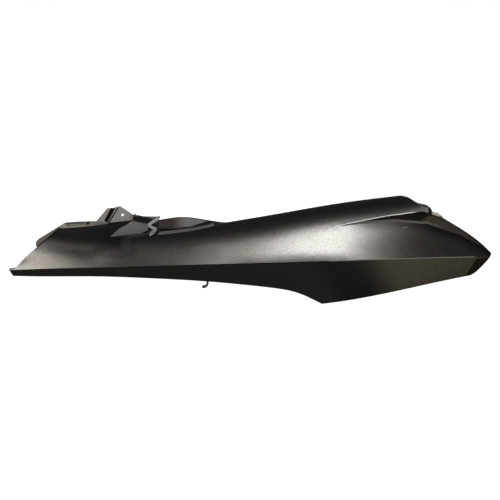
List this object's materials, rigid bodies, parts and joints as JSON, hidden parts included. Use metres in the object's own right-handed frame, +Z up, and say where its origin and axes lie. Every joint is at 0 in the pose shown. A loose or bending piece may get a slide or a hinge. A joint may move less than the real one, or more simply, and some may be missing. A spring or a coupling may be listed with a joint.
{
  "type": "scooter side panel",
  "caption": "Left rear side panel of a scooter: long creased painted plastic shell that tapers to the tail, with a fixing tab, shelf and stepped fin.",
  "frame": {"origin": "centre of the front fixing hole, on the outer face of its tab", "axes": "+X runs along the panel from the front end to the tail, +Y from the outside of the scooter inward, +Z up"},
  "size_m": [0.8135, 0.1117, 0.1742],
  "materials": {
    "painted_abs": "warm graphite metallic paint under clear coat on the outside, bare grey moulded plastic inside and on the tab"
  },
  "bodies": {
    "root": {"side_panel": "painted_abs"}
  },
  "joints": []
}
